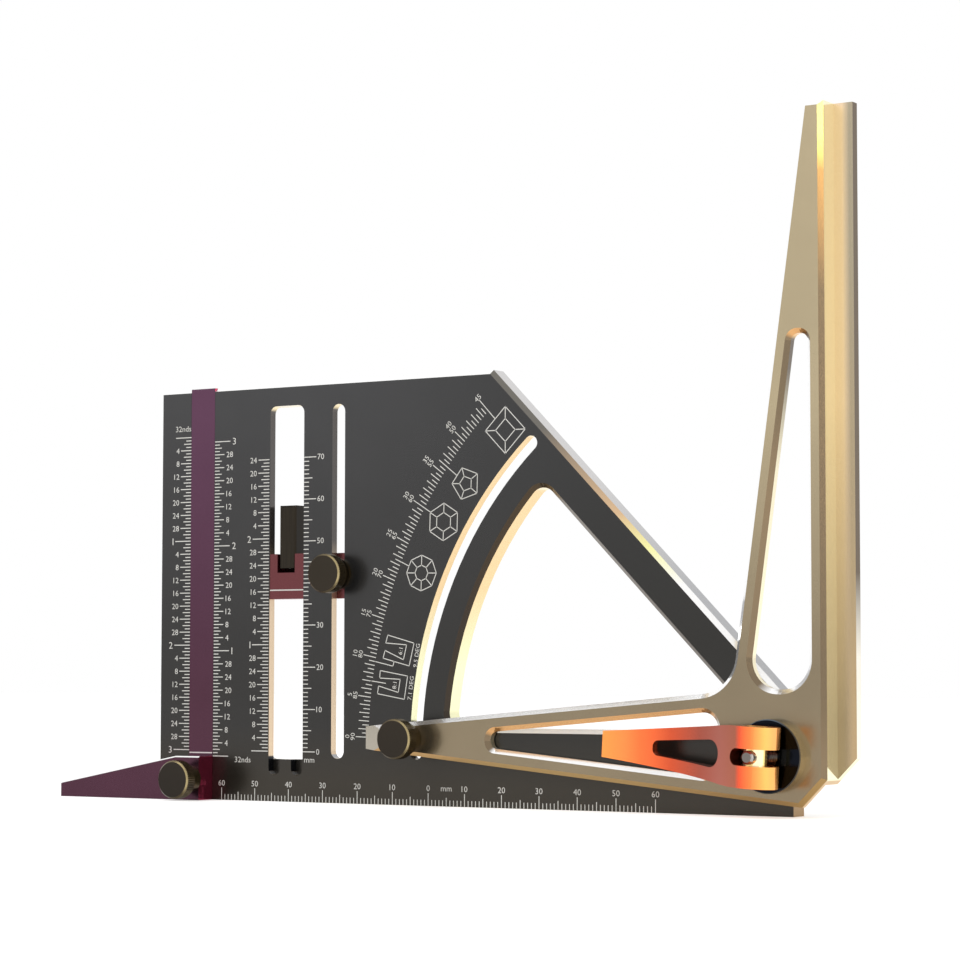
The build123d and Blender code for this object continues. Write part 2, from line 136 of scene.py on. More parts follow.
which = tree.nodes.new("ShaderNodeMixShader")
tree.links.new(any_seen, which.inputs[0])
tree.links.new(ambient.outputs[0], which.inputs[1])
tree.links.new(seen.outputs[0], which.inputs[2])
tree.links.new(which.outputs[0], world_out.inputs["Surface"])
print("the world lights with", LAMP_SHARE, "of the white that it shows")

# %% Lamps


def soft_lamp(name, at, towards, size, watts, colour):
    """A square lamp that faces a point, with places and size in metres."""
    lamp = bpy.data.lights.new(name, "AREA")
    lamp.size, lamp.energy, lamp.color = size, watts, colour
    holder = bpy.data.objects.new(name, lamp)
    scene.collection.objects.link(holder)
    spot = Vector(at)
    turn = (Vector(towards) - spot).to_track_quat("-Z", "Y")
    holder.matrix_world = Matrix.Translation(spot) @ turn.to_matrix().to_4x4()


soft_lamp("high_lamp", (-0.35, -0.55, 0.75), (0.02, 0.0, 0.06), 0.6, 4.0, (1.0, 0.99, 0.97))
soft_lamp("low_lamp", (0.75, -0.1, 0.25), (0.05, 0.0, 0.05), 0.4, 1.6, (1.0, 0.86, 0.66))

# %% [markdown]
# ## The surface it stands on
#
# The tool stands on a white table that melts into the white background. The table could be a
# shining white plane, but then the tool's shadow would be lost. Here a plain white paint gets a
# share of its own brightness for the camera and for reflections only, so the horizon goes away
# and the shadow stays as a soft grey.

# %% Floor
OWN_LIGHT = 0.45  # brightness that the table shows to the eye and to reflections
table = bmesh.new()
bmesh.ops.create_grid(table, x_segments=1, y_segments=1, size=3.0)
bmesh.ops.translate(table, verts=table.verts, vec=(0, 0, -0.02 * MM))
floor_mesh = bpy.data.meshes.new("floor")
table.to_mesh(floor_mesh)
table.free()
floor = bpy.data.objects.new("floor", floor_mesh)
scene.collection.objects.link(floor)
table_paint = bpy.data.materials.new("table_paint")
table_paint.use_nodes = True
tree = table_paint.node_tree
paint = tree.nodes["Principled BSDF"]
paint.inputs["Base Color"].default_value = (0.9, 0.9, 0.9, 1)
paint.inputs["Roughness"].default_value = 0.8
glow = tree.nodes.new("ShaderNodeEmission")
glow.inputs["Color"].default_value = (1, 1, 1, 1)
rays = tree.nodes.new("ShaderNodeLightPath")
to_eye, to_gloss = rays.outputs["Is Camera Ray"], rays.outputs["Is Glossy Ray"]
eye_or_gloss = math_node(tree, "MAXIMUM", to_eye, to_gloss)
both = tree.nodes.new("ShaderNodeAddShader")
tree.links.new(math_node(tree, "MULTIPLY", eye_or_gloss, OWN_LIGHT), glow.inputs["Strength"])
tree.links.new(paint.outputs[0], both.inputs[0])
tree.links.new(glow.outputs[0], both.inputs[1])
tree.links.new(both.outputs[0], tree.nodes["Material Output"].inputs["Surface"])
floor_mesh.materials.append(table_paint)

# %% [markdown]
# ## Finding the cut faces of a part
#
# A plate like this is milled, so its bevels and walls are smoother than its flat faces and mirror
# the room. One material has to cover the whole part, so it needs to know where it is. The
# direction that a face looks in tells it: flat faces look along Y, bevels lean by 45 degrees, and
# walls look sideways. Which way a cut looks matters too: those that look up or to the left get a
# painted reflection of the white room, and those that look right or down a painted reflection of
# the warm light there. The shared group turns all this into masks for these painted colours.
# Object coordinates are used, so the masks stay on a part that moves, and the painted light moves
# with it.

# %% Group and ramp helpers


def new_group(name, inputs, outputs):
    """A shader group with named sockets, and its two end nodes."""
    group = bpy.data.node_groups.new(name, "ShaderNodeTree")
    for label, value in inputs:
        socket = group.interface.new_socket(
            name=label, in_out="INPUT", socket_type="NodeSocketFloat"
        )
        socket.default_value = value
    for label in outputs:
        group.interface.new_socket(name=label, in_out="OUTPUT", socket_type="NodeSocketFloat")
    return group, group.nodes.new("NodeGroupInput"), group.nodes.new("NodeGroupOutput")


def ramp(tree, value, low, high, to_low=0.0, to_high=1.0):
    """A Map Range node, clamped, that turns low..high into to_low..to_high."""
    node = tree.nodes.new("ShaderNodeMapRange")
    numbers = {"From Min": low, "From Max": high, "To Min": to_low, "To Max": to_high}
    for name, number in numbers.items():
        node.inputs[name].default_value = number
    tree.links.new(value, node.inputs["Value"])
    return node.outputs["Result"]


# %% Group: which way a face looks
WALL_FROM, WALL_FULL = 0.35, 0.30  # of a face's direction along Y, which a wall hardly has
FLAT_FROM, FLAT_FULL = 0.93, 0.97  # a flat face has nearly all of it
SIDE_FROM, SIDE_FULL = 0.25, 0.65  # of a cut's direction to the right, or up
DOWN_FROM, DOWN_FULL = -0.35, -0.75
facing_group, _, facing_out = new_group(
    "face_direction", [], ["Wall", "Bevel", "Rightward", "Upward", "Downward", "Height", "Across"]
)
coords = facing_group.nodes.new("ShaderNodeTexCoord")
direction = facing_group.nodes.new("ShaderNodeSeparateXYZ")
facing_group.links.new(coords.outputs["Normal"], direction.inputs[0])
where = facing_group.nodes.new("ShaderNodeSeparateXYZ")
facing_group.links.new(coords.outputs["Object"], where.inputs[0])
depth_look = math_node(facing_group, "ABSOLUTE", direction.outputs["Y"])
wall = ramp(facing_group, depth_look, WALL_FULL, WALL_FROM, 1.0, 0.0)
leaning = ramp(facing_group, depth_look, FLAT_FROM, FLAT_FULL, 1.0, 0.0)
squared = math_node(facing_group, "POWER", depth_look, 2.0)
sideways = math_node(facing_group, "SQRT", math_node(facing_group, "SUBTRACT", 1.0001, squared))
to_right = math_node(facing_group, "DIVIDE", direction.outputs["X"], sideways)
to_top = math_node(facing_group, "DIVIDE", direction.outputs["Z"], sideways)
for label, value in (
    ("Wall", wall),
    ("Bevel", math_node(facing_group, "SUBTRACT", leaning, wall)),
    ("Rightward", ramp(facing_group, to_right, SIDE_FROM, SIDE_FULL)),
    ("Upward", ramp(facing_group, to_top, SIDE_FROM, SIDE_FULL)),
    ("Downward", ramp(facing_group, to_top, DOWN_FROM, DOWN_FULL)),
    ("Height", where.outputs["Z"]),
    ("Across", where.outputs["X"]),
):
    facing_group.links.new(value, facing_out.inputs[label])
print("group", facing_group.name, "puts out", [s.name for s in facing_group.interface.items_tree])

# %% [markdown]
# ## The grain of anodised metal
#
# Anodising leaves a very fine matt grain, with hardly visible clouds where the dye took a little
# differently. A picture of such a surface could be used, but noise at two scales says the same in
# a few nodes and never repeats: a fine one for the grain, a coarse one for the clouds. The second
# group is for turned and brushed steel, whose lines are noise stretched along one direction.

# %% Group: anodised grain
grain_group, grain_in, grain_out = new_group(
    "anodised_grain", [("Grain", 9000.0), ("Clouds", 40.0)], ["Grain", "Clouds"]
)
coords = grain_group.nodes.new("ShaderNodeTexCoord")
for size_name, detail in (("Grain", 2.0), ("Clouds", 3.0)):
    noise = grain_group.nodes.new("ShaderNodeTexNoise")
    noise.inputs["Detail"].default_value = detail
    noise.inputs["Roughness"].default_value = 0.6
    grain_group.links.new(coords.outputs["Object"], noise.inputs["Vector"])
    grain_group.links.new(grain_in.outputs[size_name], noise.inputs["Scale"])
    grain_group.links.new(noise.outputs["Fac"], grain_out.inputs[size_name])

# %% Group: lines left by a tool
lines_group, lines_in, lines_out = new_group(
    "tool_lines", [("Along X", 60.0), ("Along Y", 6000.0), ("Along Z", 60.0)], ["Lines"]
)
coords = lines_group.nodes.new("ShaderNodeTexCoord")
stretch = lines_group.nodes.new("ShaderNodeCombineXYZ")
for axis in "XYZ":
    lines_group.links.new(lines_in.outputs[f"Along {axis}"], stretch.inputs[axis])
scaled = lines_group.nodes.new("ShaderNodeVectorMath")
scaled.operation = "MULTIPLY"
lines_group.links.new(coords.outputs["Object"], scaled.inputs[0])
lines_group.links.new(stretch.outputs[0], scaled.inputs[1])
noise = lines_group.nodes.new("ShaderNodeTexNoise")
noise.inputs["Scale"].default_value = 1.0
noise.inputs["Detail"].default_value = 3.0
lines_group.links.new(scaled.outputs[0], noise.inputs["Vector"])
lines_group.links.new(noise.outputs["Fac"], lines_out.inputs["Lines"])

# %% [markdown]
# ## One recipe for all anodised parts
#
# Plate, slides, arm, lever and knobs are all aluminium in different dyes, so they share one
# recipe: the dye on the flat faces, in places with painted shade from bottom to top, bevels and
# walls in painted reflections and highlights whose colour depends on the way each looks, and the
# grain in roughness and bump. Each part could have its own tree built by hand, but a function
# with a few values keeps them alike and easy to tune. Colours are written as the eye sees them,
# from 0 to 255, and turned into the linear values that a shader works with.

# %% Colours as seen


def seen_colour(red, green, blue):
    """A colour from 0 to 255 as linear light."""

    def linear(v):
        v /= 255
        return v / 12.92 if v <= 0.04045 else ((v + 0.055) / 1.055) ** 2.4

    return (linear(red), linear(green), linear(blue), 1.0)


def use(tree, group, **values):
    """Places a shared group in a material."""
    node = tree.nodes.new("ShaderNodeGroup")
    node.node_tree = group
    for name, value in values.items():
        node.inputs[name.replace("_", " ")].default_value = value
    return node


def mix(tree, factor, a, b):
    """Mixes two colours, each given as numbers or as a socket."""
    node = tree.nodes.new("ShaderNodeMix")
    node.data_type = "RGBA"
    tree.links.new(factor, node.inputs["Factor"])
    for name, value in (("A", a), ("B", b)):
        socket = [s for s in node.inputs if s.name == name and s.type == "RGBA"][0]
        if isinstance(value, tuple):
            socket.default_value = value
        else:
            tree.links.new(value, socket)
    return [s for s in node.outputs if s.type == "RGBA"][0]


# %% Colours that change along a part


def fading(first, second, start, end):
    """A colour that goes over into another between two heights in mm."""
    return (seen_colour(*first), seen_colour(*second), start * MM, end * MM)


def settled(tree, look, value):
    """A plain colour as it is, or the socket of a fading one."""
    if isinstance(value[0], float):
        return value
    first, second, start, end = value
    return mix(tree, ramp(tree, look.outputs["Height"], start, end), first, second)


def by_direction(tree, look, light, right, down):
    """The painted reflection colour of cuts that look up or left, to the right and down."""
    light, right, down = (settled(tree, look, colour) for colour in (light, right, down))
    sideways = mix(tree, look.outputs["Rightward"], light, right)
    return mix(tree, look.outputs["Downward"], sideways, down)


# %% Anodised recipe
GRAIN_HEIGHT, GRAIN_BUMP = 0.05 * MM, 0.04
CLOUDS, MATT = 0.04, 0.04  # by which brightness and roughness vary


def anodised(name, face, bevels, walls, rough=0.26, cut_rough=0.16, metal=0.85):
    """Dyed flat faces, which can fade with painted shade, and bevels and walls in three painted
    reflection colours each: up or left, right and down.
    """
    material = bpy.data.materials.new(name)
    material.use_nodes = True
    tree = material.node_tree
    shader = tree.nodes["Principled BSDF"]
    shader.inputs["Metallic"].default_value = metal
    look = use(tree, facing_group)
    look.name = "look"
    grain = use(tree, grain_group)
    uneven = tree.nodes.new("ShaderNodeHueSaturation")
    brightness = ramp(tree, grain.outputs["Clouds"], 0.35, 0.65, 1 - CLOUDS, 1 + CLOUDS)
    tree.links.new(brightness, uneven.inputs["Value"])
    dye = settled(tree, look, face)
    if isinstance(dye, tuple):
        uneven.inputs["Color"].default_value = dye
    else:
        tree.links.new(dye, uneven.inputs["Color"])
    colour = mix(tree, look.outputs["Bevel"], uneven.outputs[0], by_direction(tree, look, *bevels))
    colour = mix(tree, look.outputs["Wall"], colour, by_direction(tree, look, *walls))
    tree.links.new(colour, shader.inputs["Base Color"])
    cut = math_node(tree, "MAXIMUM", look.outputs["Bevel"], look.outputs["Wall"])
    matt = ramp(tree, grain.outputs["Grain"], 0.3, 0.7, rough - MATT, rough + MATT)
    lowered = math_node(tree, "MULTIPLY", cut, rough - cut_rough)
    tree.links.new(math_node(tree, "SUBTRACT", matt, lowered), shader.inputs["Roughness"])
    raised = tree.nodes.new("ShaderNodeBump")
    raised.inputs["Strength"].default_value = GRAIN_BUMP
    raised.inputs["Distance"].default_value = GRAIN_HEIGHT
    tree.links.new(grain.outputs["Grain"], raised.inputs["Height"])
    tree.links.new(raised.outputs[0], shader.inputs["Normal"])
    return material


# %% [markdown]
# ## Patches of another colour
#
# A cut mirrors what stands before it, and in the picture this changes along the part: the 45
# degree edge goes from grey over yellow to white, and the lip grows paler towards its top. A lamp
# could be hung for each of these, but it would spoil all the others. A patch adds one more colour
# where some masks meet, within limits of height or of place across. Later ones lie on top.

# %% Patch helper


def patch(material, colour, *limits):
    """Painted light and shade as another colour on part of a material: each limit is an output of
    the direction group and the two values, or places in mm, between which the patch comes in."""
    tree = material.node_tree
    look = tree.nodes["look"]
    mask = None
    for output, low, high in limits:
        unit = MM if output in ("Height", "Across") else 1.0
        inside = ramp(tree, look.outputs[output], low * unit, high * unit)
        mask = inside if mask is None else math_node(tree, "MULTIPLY", mask, inside)
    target = tree.nodes["Principled BSDF"].inputs["Base Color"]
    under = target.links[0].from_socket
    tree.links.new(mix(tree, mask, under, settled(tree, look, colour)), target)


# %% Limits that patches share
WALL, NOT_WALL = ("Wall", 0.4, 0.6), ("Wall", 0.6, 0.4)
BEVEL, NOT_BEVEL = ("Bevel", 0.4, 0.6), ("Bevel", 0.6, 0.4)
RIGHT, NOT_RIGHT = ("Rightward", 0.4, 0.6), ("Rightward", 0.6, 0.4)
UP, NOT_UP = ("Upward", 0.4, 0.6), ("Upward", 0.6, 0.4)
DOWN, NOT_DOWN = ("Downward", 0.4, 0.6), ("Downward", 0.6, 0.4)
FLAT_FACE = (NOT_WALL, NOT_BEVEL)
LEFT_WALL = (WALL, NOT_RIGHT, NOT_UP, NOT_DOWN)
MITRE_BEVEL = (BEVEL, RIGHT, UP)
# a pure white painted highlight for cuts that look up or left
painted_white_highlight = seen_colour(255, 255, 255)

# %% [markdown]
# ## The finishes of plate, slides, arm and lever
#
# The values were compared with the photograph wherever it shows the place. The plate is nearly
# black with cuts in pale painted reflections, the slides are purple and red, the arm is gold, and
# the knobs are a dark bronze. The lever changes most along its length, since it is curved and
# mirrors the arm, and this is painted into its colour.

# %% Dark plate
# painted shade on the flat face, lighter towards the top, and painted reflections on bevels and
# walls
dark_anodised = anodised(
    "dark_anodised",
    fading((52, 51, 50), (70, 70, 71), 28, 98),
    (painted_white_highlight, seen_colour(58, 50, 42), seen_colour(75, 62, 45)),
    (
        seen_colour(150, 140, 120),
        fading((232, 208, 178), (94, 90, 88), 48, 62),
        seen_colour(250, 232, 190),
    ),
    metal=0.7,
)
for colour, *limits in (
    # flat face: painted shade, darker to the right and warmer near the table
    (fading((49, 48, 46), (58, 58, 58), 38, 85), *FLAT_FACE, ("Across", -20, 45)),
    (seen_colour(58, 54, 48), *FLAT_FACE, ("Height", 18, 5)),
    # painted reflections on walls that look right: arc slot and cut-out, the plate's end; painted
    # shade in the notches below the window
    (fading((255, 254, 210), (250, 218, 166), 32, 50), WALL, RIGHT, ("Across", -17, -15)),
    (seen_colour(155, 125, 84), WALL, RIGHT, ("Across", 90, 91)),
    (seen_colour(30, 32, 38), WALL, NOT_UP, ("Height", 10.9, 10.6), ("Across", -34, -35)),
    # painted reflection on the 45 degree edge, and a painted highlight on its bevel, which fades
    # from grey over yellow to white
    (fading((172, 173, 176), (206, 205, 206), 48, 75), WALL, RIGHT, UP),
    (fading((225, 190, 150), (114, 111, 105), 65, 86), *MITRE_BEVEL),
    (seen_colour(252, 250, 176), *MITRE_BEVEL, ("Height", 66, 58)),
    (painted_white_highlight, *MITRE_BEVEL, ("Height", 58, 50)),
    # painted reflections on the left walls and the top
    (seen_colour(92, 90, 87), *LEFT_WALL),
    (seen_colour(92, 90, 87), WALL, UP, NOT_RIGHT, ("Height", 96, 98)),
):
    patch(dark_anodised, colour, *limits)

# %% Purple and red slides
# painted shade on the flat face, lighter towards the top, and painted reflections on bevels and
# walls
purple_anodised = anodised(
    "purple_anodised",
    fading((76, 46, 60), (97, 64, 86), 25, 92),
    (painted_white_highlight, seen_colour(150, 60, 90), seen_colour(110, 50, 70)),
    (painted_white_highlight, seen_colour(160, 52, 84), seen_colour(110, 45, 66)),
)
# painted reflections on the left walls and on walls that look up
patch(purple_anodised, seen_colour(122, 80, 106), *LEFT_WALL)
patch(purple_anodised, seen_colour(196, 160, 184), WALL, UP)
# painted reflections on bevels and walls, and on the left walls below
red_anodised = anodised(
    "red_anodised",
    seen_colour(107, 59, 62),
    (painted_white_highlight, seen_colour(150, 80, 80), seen_colour(120, 60, 60)),
    (seen_colour(240, 215, 215), seen_colour(105, 35, 48), seen_colour(150, 90, 95)),
)
patch(red_anodised, seen_colour(150, 92, 98), *LEFT_WALL)

# %% Gold arm
# painted shade on the flat face, lighter towards the top, and painted reflections on bevels and
# walls
gold_anodised = anodised(
    "gold_anodised",
    fading((134, 121, 99), (181, 166, 135), 32, 88),
    (
        painted_white_highlight,
        fading((126, 110, 88), (200, 158, 102), 112, 138),
        fading((165, 135, 85), (215, 165, 110), 10, 16),
    ),
    (painted_white_highlight, fading((250, 240, 208), (124, 116, 108), 74, 96), seen_colour(225, 185, 130)),
    rough=0.24,
    cut_rough=0.1,
)
for colour, *limits in (
    # a painted highlight on the bevel that looks right, near the top
    (seen_colour(255, 250, 150), BEVEL, RIGHT, ("Height", 138, 146)),
    # painted reflections on the fence, then on the lip from left to right and its edge
    (fading((255, 252, 213), (255, 250, 214), 20, 90), WALL, RIGHT, ("Across", 102.3, 102.4)),
    (fading((156, 139, 119), (234, 208, 175), 20, 90), *FLAT_FACE, ("Across", 102.55, 102.6)),
    (fading((180, 157, 121), (172, 161, 138), 30, 120), *FLAT_FACE, ("Across", 104.6, 106.2)),
    (fading((255, 250, 236), (108, 94, 78), 34, 52), WALL, RIGHT, ("Across", 106.9, 107.0)),
    # painted reflections on the pointer's tip, the left walls, and walls above the leg that look
    # up
    (seen_colour(160, 153, 140), NOT_UP, NOT_DOWN, ("Across", -11.8, -12.1)),
    (seen_colour(206, 188, 149), *LEFT_WALL),
    (seen_colour(224, 208, 170), WALL, UP, ("Height", 34, 38)),
):
    patch(gold_anodised, colour, *limits)

# %% Lever, disc, knobs and barrel
# painted reflections on the lever's bevels and walls
orange_anodised = anodised(
    "orange_anodised",
    seen_colour(240, 140, 80),
    (seen_colour(255, 190, 120), seen_colour(255, 170, 90), seen_colour(250, 150, 75)),
    (seen_colour(240, 120, 70), seen_colour(235, 120, 70), seen_colour(215, 90, 60)),
    rough=0.3,
)
# painted reflections on the disc's bevels and walls, palest on walls that look right
black_anodised = anodised(
    "black_anodised",
    seen_colour(20, 22, 28),
    (seen_colour(90, 100, 110), seen_colour(70, 66, 60), seen_colour(60, 60, 60)),
    (seen_colour(45, 60, 75), seen_colour(255, 240, 205), seen_colour(180, 160, 120)),
    rough=0.12,
    metal=1.0,
)
# painted shade on the knobs' faces, lighter towards the top, and a painted highlight on the rims,
# brightest where they look right
bronze_anodised = anodised(
    "bronze_anodised",
    fading((43, 38, 33), (52, 46, 38), 5, 25),
    (seen_colour(112, 100, 74), seen_colour(168, 152, 112), seen_colour(72, 62, 44)),
    (seen_colour(98, 88, 62), seen_colour(84, 72, 48), seen_colour(70, 58, 40)),
    rough=0.32,
    cut_rough=0.26,
)
# a painted highlight on the barrel's bevels
yellow_anodised = anodised(
    "yellow_anodised",
    seen_colour(255, 232, 150),
    (seen_colour(255, 240, 200),) * 3,
    (seen_colour(255, 228, 145),) * 3,
)

# %% The lever's painted light and shade from tip to clevis
RAMP_START, RAMP_LONG = 50, 50  # mm across
tree = orange_anodised.node_tree
along = tree.nodes.new("ShaderNodeValToRGB")
# painted reflections and shade along the lever: colours listed by place across in mm, tip to
# clevis
lever_painted_light = (
    (51.0, (255, 158, 79)), (56.3, (255, 142, 76)), (60.0, (255, 120, 65)), (68.0, (209, 86, 53)),
    (76.0, (165, 82, 66)), (82.5, (170, 98, 84)), (87.4, (168, 95, 72)), (88.6, (235, 90, 58)),
    (91.4, (250, 135, 72)), (94.0, (255, 187, 101)), (96.0, (255, 176, 108)),
)
for number, (across, colour) in enumerate((lever_painted_light[0], lever_painted_light[-1])):
    end = along.color_ramp.elements[number]
    end.position, end.color = (across - RAMP_START) / RAMP_LONG, seen_colour(*colour)
for across, colour in lever_painted_light[1:-1]:
    stop = along.color_ramp.elements.new((across - RAMP_START) / RAMP_LONG)
    stop.color = seen_colour(*colour)
place_across = tree.nodes["look"].outputs["Across"]
part_way = ramp(tree, place_across, RAMP_START * MM, (RAMP_START + RAMP_LONG) * MM)
tree.links.new(part_way, along.inputs["Fac"])
tree.links.new(along.outputs["Color"], tree.nodes["Principled BSDF"].inputs["Base Color"])
# painted shade on the lever's walls that look down
patch(orange_anodised, seen_colour(205, 82, 52), WALL, DOWN)
print("anodised finishes:", [m.name for m in bpy.data.materials if "anodised" in m.name])

# %% [markdown]
# ## Steel, bronze and plastic
#
# The bolt, washers and screws are turned steel, the blade is blackened tool steel with a ground
# face, the bushes are plain bronze and the small clamp pad is white plastic. Their recipe is
# shorter: two near colours, and tool lines in roughness and bump. Only the ends of steel parts and
# the blade's walls are patched, with a darker painted shade.

# %% Plain metals and plastic
LINE_HEIGHT, LINE_BUMP, LINE_MATT = 0.05 * MM, 0.08, 0.06


def turned(name, colour, second, rough, metal=1.0, along=(60.0, 6000.0, 60.0)):
    """A plain material with fine lines left by the tool that made it."""
    material = bpy.data.materials.new(name)
    material.use_nodes = True
    tree = material.node_tree
    shader = tree.nodes["Principled BSDF"]
    shader.inputs["Metallic"].default_value = metal
    lines = use(tree, lines_group, Along_X=along[0], Along_Y=along[1], Along_Z=along[2])
    tint = ramp(tree, lines.outputs["Lines"], 0.35, 0.65)
    tree.links.new(mix(tree, tint, colour, second), shader.inputs["Base Color"])
    matt = ramp(tree, lines.outputs["Lines"], 0.3, 0.7, rough - LINE_MATT, rough + LINE_MATT)
    tree.links.new(matt, shader.inputs["Roughness"])
    raised = tree.nodes.new("ShaderNodeBump")
    raised.inputs["Strength"].default_value = LINE_BUMP
    raised.inputs["Distance"].default_value = LINE_HEIGHT
    tree.links.new(lines.outputs["Lines"], raised.inputs["Height"])
    tree.links.new(raised.outputs[0], shader.inputs["Normal"])
    return material


steel = turned("steel", seen_colour(150, 148, 147), seen_colour(176, 174, 173), 0.22)
use(steel.node_tree, facing_group).name = "look"
# painted shade: the flat ends of steel parts are darker
patch(steel, seen_colour(112, 107, 103), *FLAT_FACE)
dark_steel = turned(
    "dark_steel",
    seen_colour(38, 33, 26),
    seen_colour(46, 40, 31),
    0.34,
    metal=0.8,
    along=(3000.0, 3000.0, 80.0),
)
use(dark_steel.node_tree, facing_group).name = "look"
# painted shade on the blade's walls
patch(dark_steel, seen_colour(33, 29, 24), WALL)
bronze = turned("bronze", seen_colour(176, 132, 78), seen_colour(196, 152, 92), 0.3)
white_plastic = turned(
    "white_plastic", seen_colour(228, 228, 222), seen_colour(236, 236, 231), 0.5, metal=0.0
)

# %% Give every CAD node its finish
finishes = {
    "dark_anodised": dark_anodised,
    "purple_anodised": purple_anodised,
    "red_anodised": red_anodised,
    "gold_anodised": gold_anodised,
    "bronze_anodised": bronze_anodised,
    "black_anodised": black_anodised,
    "orange_anodised": orange_anodised,
    "yellow_anodised": yellow_anodised,
    "dark_steel": dark_steel,
    "steel": steel,
    "bronze": bronze,
    "white_plastic": white_plastic,
}
for name, node in sorted(nodes.items()):
    for material_slot in node.material_slots:
        wanted = material_slot.material.name.split(".")[0]
        material_slot.material = finishes[wanted]
    print(name, "gets", [s.material.name for s in node.material_slots])

# %% [markdown]
# ## Engraved lines
#
# The scales are cut by a laser into the dark anodising, down to pale bare metal. They could be
# drawn as a picture on the plate, but real lines stay sharp at any distance. Each line here is a
# thin closed bar that lies almost flush with the face: it stands out by two hundredths of a
# millimetre, so that it can be seen, and goes as deep below it.

# %% Line helpers
PROUD = 0.02  # mm above the face, and as much below it
FINE_LINE, SCALE_LINE, INDEX_LINE = 0.2, 0.22, 0.3  # mm wide
OVERLAP = 0.35  # of a line's width, by which lines that meet run on
marks_white = turned(
    "marks_white", seen_colour(208, 207, 202), seen_colour(220, 219, 215), 0.55, metal=0.0
)


def line(marks, start, end, width, y=0.0):
    """A straight engraved line between two points (x, z) in mm on the face at depth y."""
    (x0, z0), (x1, z1) = start, end
    long, turn = math.hypot(x1 - x0, z1 - z0), math.atan2(z1 - z0, x1 - x0)
    bar = (
        Matrix.Translation(place((x0 + x1) / 2, y, (z0 + z1) / 2))
        @ Matrix.Rotation(-turn, 4, "Y")
        @ Matrix.Diagonal((long * MM, 2 * PROUD * MM, width * MM, 1))
    )
    bmesh.ops.create_cube(marks, size=1.0, matrix=bar)


def outline(marks, points, closed=True):
    """Fine lines from point to point, each a little longer so that the corners close."""
    ends = points[1:] + points[:1] if closed else points[1:]
    for (x0, z0), (x1, z1) in zip(points, ends):
        over = FINE_LINE * OVERLAP / math.hypot(x1 - x0, z1 - z0)
        over_x, over_z = (x1 - x0) * over, (z1 - z0) * over
        line(marks, (x0 - over_x, z0 - over_z), (x1 + over_x, z1 + over_z), FINE_LINE)


# %% [markdown]
# ## Engraved numbers
#
# Numbers are text objects made into meshes, because a mesh can be turned, joined and exported. A
# text object stands on its base line. Engravers place a number by its middle, so each label is
# moved down by half a letter's height, and sideways by the box round its own letters.

# %% Number helper
CAPITAL = 0.71442  # height of a capital letter at size 1
CAPITAL_MIDDLE, SMALL_MIDDLE = 0.3565, 0.27
WIDENED, THINNED = 1.06, -0.003
NUMBER, INCH_NUMBER = 1.4, 1.7  # mm tall


def label(marks, words, x, z, tall, turn=0.0, side="middle"):
    """Engraved words: their middle or side at (x, z) in mm, tall in mm, turned by degrees."""
    letters = bpy.data.curves.new("letters", "FONT")
    letters.body, letters.size, letters.resolution_u = words, 1.0, 2
    letters.extrude, letters.offset = 0.5, THINNED
    holder = bpy.data.objects.new("letters", letters)
    shape = bpy.data.meshes.new_from_object(holder)
    xs = [v.co.x for v in shape.vertices]
    grow = tall * MM / CAPITAL
    anchor = {"left": min(xs), "middle": (min(xs) + max(xs)) / 2, "right": max(xs)}[side]
    centre = SMALL_MIDDLE if words == "mm" else CAPITAL_MIDDLE
    shape.transform(
        Matrix.Translation(place(x, 0, z))
        @ Matrix.Rotation(-math.radians(turn), 4, "Y")
        @ Matrix.Rotation(math.radians(90), 4, "X")
        @ Matrix.Diagonal((grow * WIDENED, grow, 2 * PROUD * MM, 1))
        @ Matrix.Translation((-anchor, -centre, 0))
    )
    marks.from_mesh(shape)
    bpy.data.meshes.remove(shape)
    bpy.data.objects.remove(holder)
    bpy.data.curves.remove(letters)


# %% Make a finished piece from a bmesh


def piece(name, marks, body, material):
    """Closes the shapes in a bmesh, turns them outwards and lets them ride on a body."""
    bmesh.ops.remove_doubles(marks, verts=marks.verts, dist=1e-7)
    bmesh.ops.recalc_face_normals(marks, faces=marks.faces)
    mesh = bpy.data.meshes.new(name)
    marks.to_mesh(mesh)
    marks.free()
    mesh.materials.append(material)
    made = bpy.data.objects.new(name, mesh)
    scene.collection.objects.link(made)
    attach(made, body)
    print(name, "has", len(mesh.polygons), "faces")


# %% [markdown]
# ## The millimetre scale along the ruler edge
#
# It counts both ways from a zero in the middle. Ticks start at the very edge, so that a work
# piece can be marked against them, and grow at every fifth and tenth line.

# %% Ruler scale
marks = bmesh.new()
for mm in range(-60, 61):
    tall = 2.95 if mm % 10 == 0 else 2.0 if mm % 5 == 0 else 1.4
    line(marks, (mm, 0.02), (mm, tall), FINE_LINE)
    if mm % 10 == 0:
        label(marks, str(abs(mm)), mm, 4.1, NUMBER)
label(marks, "mm", 5, 4.0, NUMBER)
piece("ruler_scale", marks, "plate", marks_white)

# %% [markdown]
# ## Inch scales
#
# Three scales on the plate count in inches with 32 parts, and differ only in their place and in
# the way they count. One helper draws them all: the shortest ticks are 32nds, and every eighth of
# an inch has a number.

# %% Inch helper
INCH = 25.4


def inch_scale(marks, parts, zero, way, edge, reaches, number_xs, side):
    """Ticks from an edge at x to four reaches: 1/32, 2/32, 4/32 and whole inches. The numbers of
    eighths and of whole inches stand at two more values of x."""
    for part in range(parts + 1):
        z = zero + way * part * INCH / 32
        kind = 3 if part % 32 == 0 else 2 if part % 4 == 0 else 1 if part % 2 == 0 else 0
        line(marks, (edge, z), (reaches[kind], z), SCALE_LINE)
        if kind == 3 and part:
            label(marks, str(part // 32), number_xs[1], z, INCH_NUMBER, side=side)
        elif kind == 2:
            label(marks, str(part % 32), number_xs[0], z, NUMBER, side=side)


